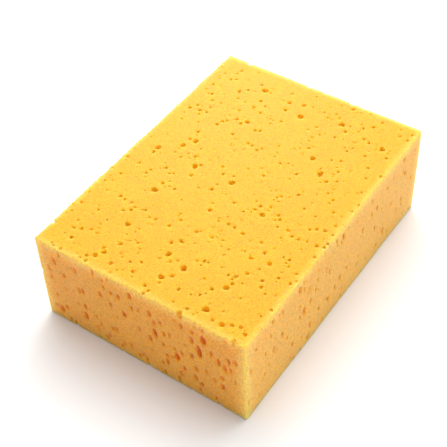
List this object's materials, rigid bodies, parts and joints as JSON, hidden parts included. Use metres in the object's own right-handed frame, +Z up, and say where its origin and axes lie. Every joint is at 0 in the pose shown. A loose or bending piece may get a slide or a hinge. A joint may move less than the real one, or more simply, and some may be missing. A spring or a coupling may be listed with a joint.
{
  "type": "foam sponge",
  "caption": "Rectangular block of open-cell foam sponge for wetting, wiping and smoothing, with coarse bubbles open in every face.",
  "frame": {"origin": "centre of the underside, on the surface that the block rests on", "axes": "+X along the length, +Y across the width, +Z up through the height, which is also the way that the foam rose"},
  "size_m": [0.152, 0.11, 0.051],
  "materials": {
    "yellow_foam": "matte open-cell foam, soft and slightly translucent at its edges"
  },
  "bodies": {
    "root": {"foam_block": "yellow_foam"}
  },
  "joints": []
}
